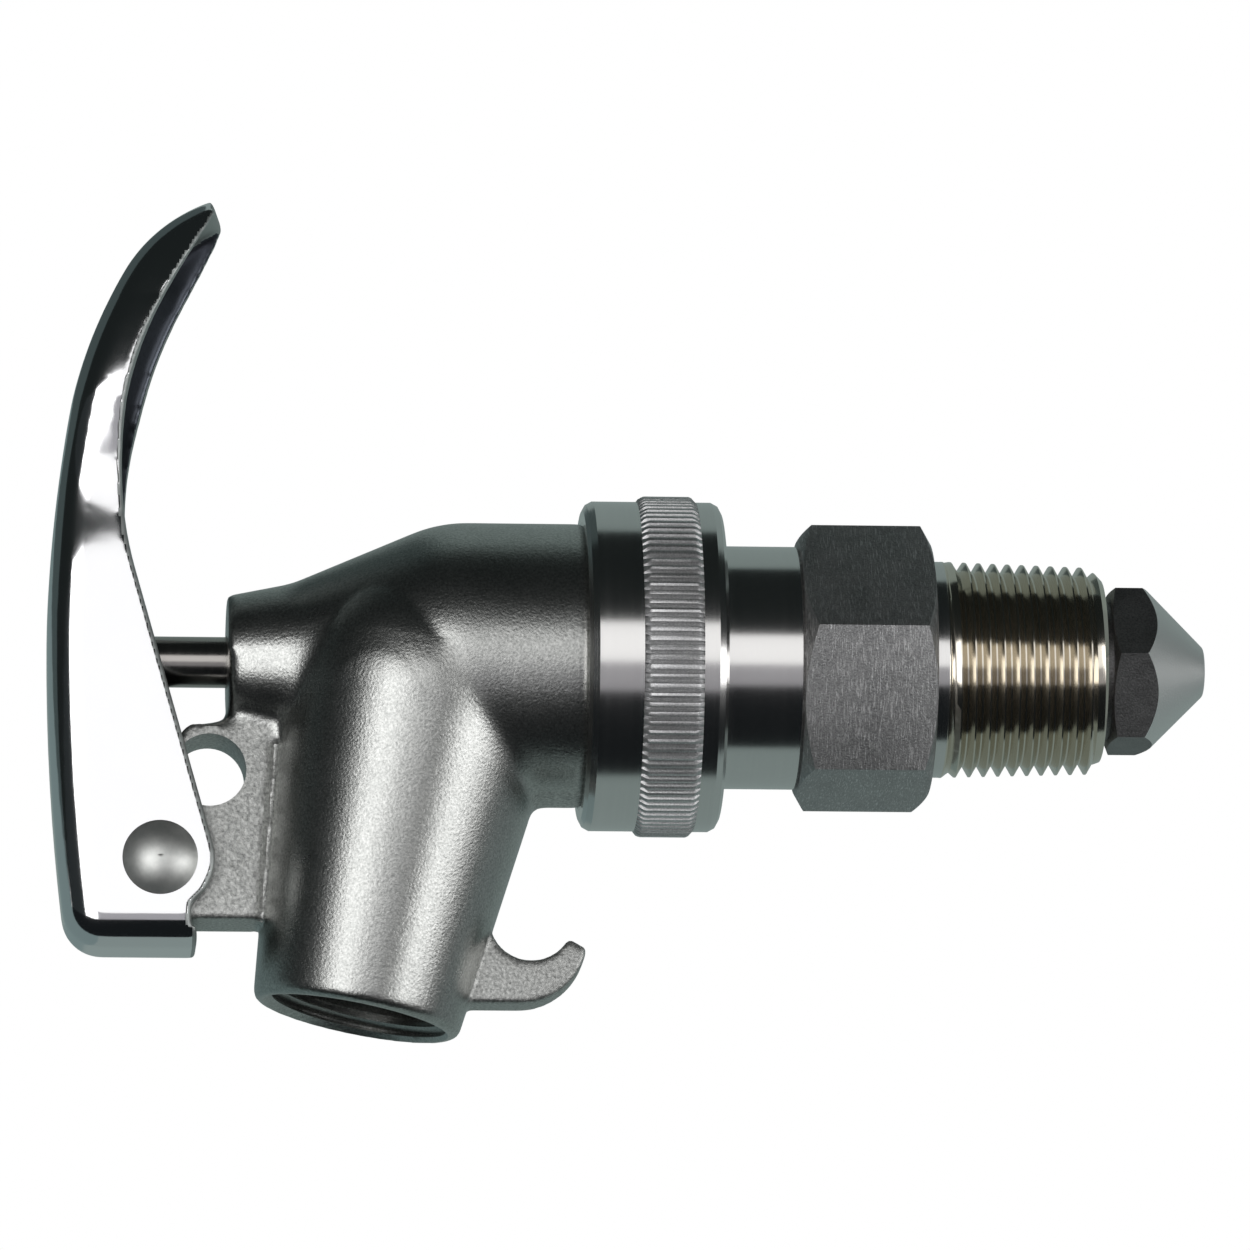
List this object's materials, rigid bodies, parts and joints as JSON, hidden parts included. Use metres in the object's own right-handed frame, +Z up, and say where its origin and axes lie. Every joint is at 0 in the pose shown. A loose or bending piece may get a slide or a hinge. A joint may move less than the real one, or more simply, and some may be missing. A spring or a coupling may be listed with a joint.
{
  "type": "spigot tap",
  "caption": "Stainless drum tap with a swivel union, a push lever on a rivet, a spring closed valve at the drum end and a threaded spout.",
  "frame": {"origin": "on the inlet's axis, at the drum side of the wrench hexagon, where the tapered pipe thread starts", "axes": "+X along the inlet's axis into the drum, +Z up towards the tip of the lever, +Y to the far side in the picture"},
  "size_m": [0.1444, 0.0424, 0.1055],
  "materials": {
    "cast_steel": "blasted casting, satin",
    "turned_steel": "turned, fine rings",
    "dull_steel": "milled, matt",
    "bright_steel": "pressed sheet, polished",
    "spring_wire": "drawn wire",
    "screen_wire": "woven fine mesh",
    "white_ptfe": "soft white fluoropolymer"
  },
  "bodies": {
    "shank": {"inlet_shank": "turned_steel", "split_ring": "turned_steel", "stem_guide": "turned_steel"},
    "nut_ring": {"thrust_ring": "turned_steel"},
    "nut": {"union_nut": "turned_steel"},
    "tap": {"tap_body": "cast_steel", "union_gasket": "white_ptfe", "packing_washer": "turned_steel", "packing_rings": "white_ptfe", "packing_gland": "turned_steel", "arrester_screen": "screen_wire", "arrester_ring": "turned_steel", "return_spring": "spring_wire"},
    "stem": {"valve_stem": "turned_steel", "spring_collar": "turned_steel", "collar_clip": "spring_wire", "backing_washer": "turned_steel", "seat_washer": "white_ptfe", "valve_nose": "dull_steel"},
    "lever": {"lever": "bright_steel", "pivot_rivet": "turned_steel"}
  },
  "joints": [
    {"name": "nut_slide", "type": "slide", "parent": "shank", "child": "nut_ring", "axis": [1, 0, 0], "range_m": [0, 0.0073]},
    {"name": "nut_turn", "type": "hinge", "parent": "nut_ring", "child": "nut", "pos_m": [-0.0348, 0, 0], "axis": [1, 0, 0], "range_deg": [0, 1440]},
    {"name": "body_swivel", "type": "hinge", "parent": "shank", "child": "tap", "pos_m": [-0.034, 0, 0], "axis": [1, 0, 0], "continuous": true},
    {"name": "lever_pivot", "type": "hinge", "parent": "tap", "child": "lever", "pos_m": [-0.09575, 0, -0.026], "axis": [0, 1, 0], "range_deg": [0, 16], "stiffness_Nm_per_rad": 1.96, "springref_deg": -22.35},
    {"name": "stem_slide", "type": "slide", "parent": "tap", "child": "stem", "axis": [1, 0, 0], "range_m": [0, 0.0072], "deforming": ["return_spring"]}
  ],
  "couplings": [
    {"joint": "nut_slide", "follows": "nut_turn", "m_per_rad": 0.00028875},
    {"joint": "stem_slide", "follows": "lever_pivot", "m_per_rad": 0.02556}
  ]
}
